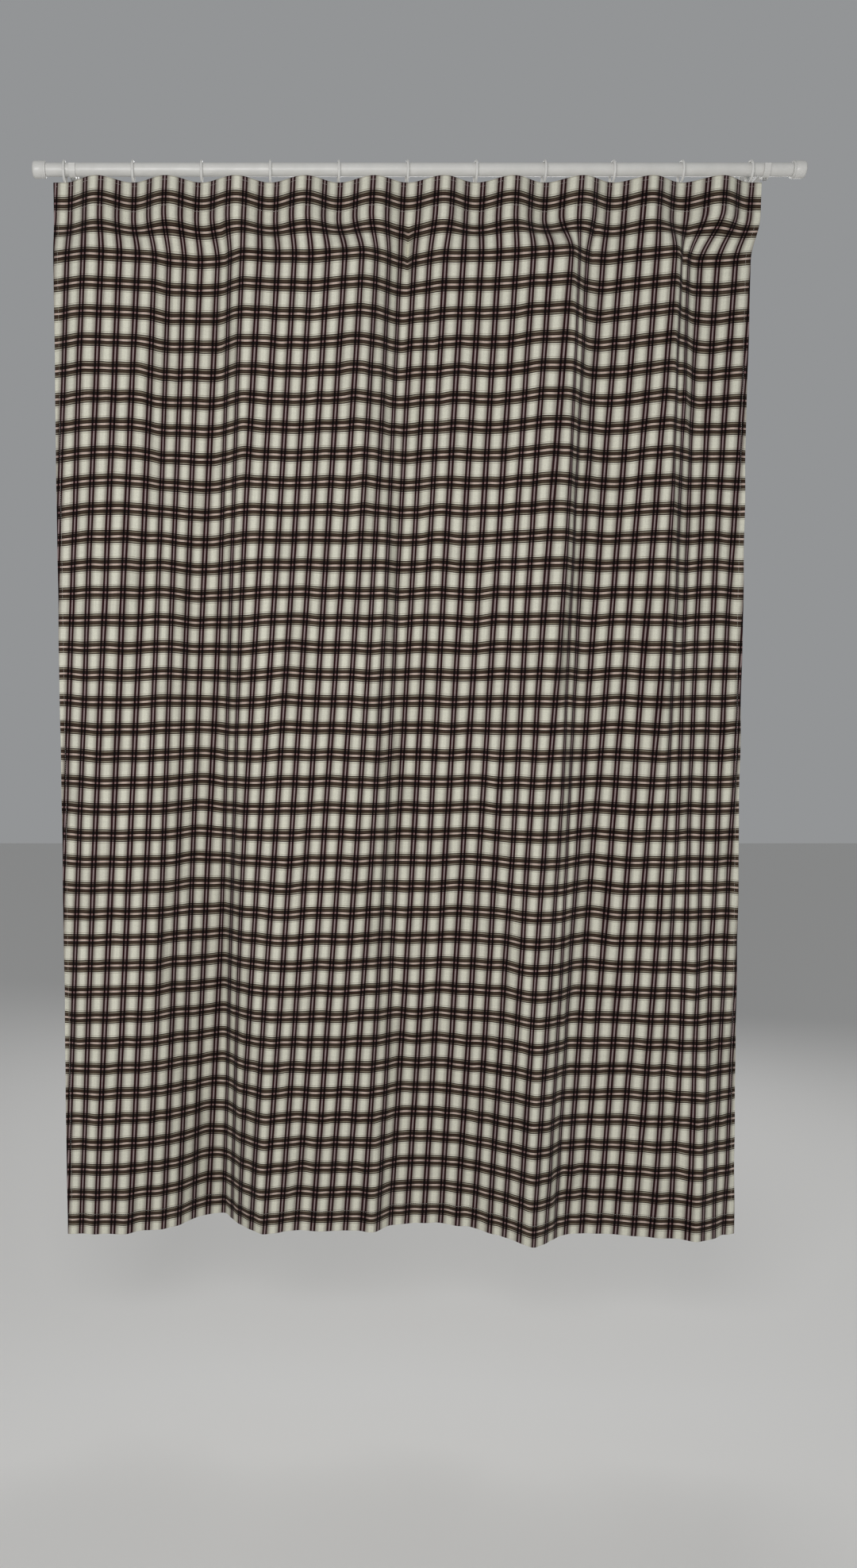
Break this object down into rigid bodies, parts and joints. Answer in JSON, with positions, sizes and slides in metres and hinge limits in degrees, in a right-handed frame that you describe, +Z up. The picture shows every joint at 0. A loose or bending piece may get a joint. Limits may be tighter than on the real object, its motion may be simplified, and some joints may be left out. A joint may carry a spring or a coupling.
{
  "type": "curtain panel",
  "caption": "Plaid cotton curtain panel with a heading tape, hung by rings and pin hooks from a wall-mounted rod; it draws along the rod.",
  "frame": {"origin": "middle of the left bracket's wall face", "axes": "+X along the rod to the right, +Y into the wall, +Z up; the room and the face of the curtain are at -Y"},
  "size_m": [1.503, 0.2027, 2.1666],
  "materials": {
    "white_paint": "satin white paint",
    "ring_plastic": "moulded, slightly glossy",
    "zinc": "bright zinc plate",
    "plaid_cloth": "yarn-dyed plaid cotton: cream ground, near-black double stripes with a pinkish line between them both ways",
    "white_tape": "woven white tape"
  },
  "bodies": {
    "root": {"rod_tube": "white_paint", "end_cap_left": "white_paint", "end_cap_right": "white_paint", "bracket_left": "white_paint", "bracket_right": "white_paint", "wall_screw_left_top": "zinc", "wall_screw_left_bottom": "zinc", "lock_screw_left": "zinc", "wall_screw_right_top": "zinc", "wall_screw_right_bottom": "zinc", "lock_screw_right": "zinc", "ring_01": "ring_plastic", "hook_01": "zinc", "curtain_cloth": "plaid_cloth", "heading_tape": "white_tape"},
    "runner_02": {"ring_02": "ring_plastic", "hook_02": "zinc"},
    "runner_03": {"ring_03": "ring_plastic", "hook_03": "zinc"},
    "runner_04": {"ring_04": "ring_plastic", "hook_04": "zinc"},
    "runner_05": {"ring_05": "ring_plastic", "hook_05": "zinc"},
    "runner_06": {"ring_06": "ring_plastic", "hook_06": "zinc"},
    "runner_07": {"ring_07": "ring_plastic", "hook_07": "zinc"},
    "runner_08": {"ring_08": "ring_plastic", "hook_08": "zinc"},
    "runner_09": {"ring_09": "ring_plastic", "hook_09": "zinc"},
    "runner_10": {"ring_10": "ring_plastic", "hook_10": "zinc"},
    "runner_11": {"ring_11": "ring_plastic", "hook_11": "zinc"}
  },
  "joints": [
    {"name": "draw", "type": "slide", "parent": "root", "child": "runner_11", "axis": [1, 0, 0], "range_m": [-0.9331, 0], "deforming": ["curtain_cloth", "heading_tape"]},
    {"name": "ring_02_slide", "type": "slide", "parent": "root", "child": "runner_02", "axis": [1, 0, 0], "range_m": [-0.09351, 0]},
    {"name": "ring_03_slide", "type": "slide", "parent": "root", "child": "runner_03", "axis": [1, 0, 0], "range_m": [-0.18682, 0]},
    {"name": "ring_04_slide", "type": "slide", "parent": "root", "child": "runner_04", "axis": [1, 0, 0], "range_m": [-0.28013, 0]},
    {"name": "ring_05_slide", "type": "slide", "parent": "root", "child": "runner_05", "axis": [1, 0, 0], "range_m": [-0.37344, 0]},
    {"name": "ring_06_slide", "type": "slide", "parent": "root", "child": "runner_06", "axis": [1, 0, 0], "range_m": [-0.46675, 0]},
    {"name": "ring_07_slide", "type": "slide", "parent": "root", "child": "runner_07", "axis": [1, 0, 0], "range_m": [-0.56006, 0]},
    {"name": "ring_08_slide", "type": "slide", "parent": "root", "child": "runner_08", "axis": [1, 0, 0], "range_m": [-0.65337, 0]},
    {"name": "ring_09_slide", "type": "slide", "parent": "root", "child": "runner_09", "axis": [1, 0, 0], "range_m": [-0.74668, 0]},
    {"name": "ring_10_slide", "type": "slide", "parent": "root", "child": "runner_10", "axis": [1, 0, 0], "range_m": [-0.83999, 0]}
  ],
  "couplings": [
    {"joint": "ring_02_slide", "follows": "draw", "ratio": 0.1},
    {"joint": "ring_03_slide", "follows": "draw", "ratio": 0.2},
    {"joint": "ring_04_slide", "follows": "draw", "ratio": 0.3},
    {"joint": "ring_05_slide", "follows": "draw", "ratio": 0.4},
    {"joint": "ring_06_slide", "follows": "draw", "ratio": 0.5},
    {"joint": "ring_07_slide", "follows": "draw", "ratio": 0.6},
    {"joint": "ring_08_slide", "follows": "draw", "ratio": 0.7},
    {"joint": "ring_09_slide", "follows": "draw", "ratio": 0.8},
    {"joint": "ring_10_slide", "follows": "draw", "ratio": 0.9}
  ]
}
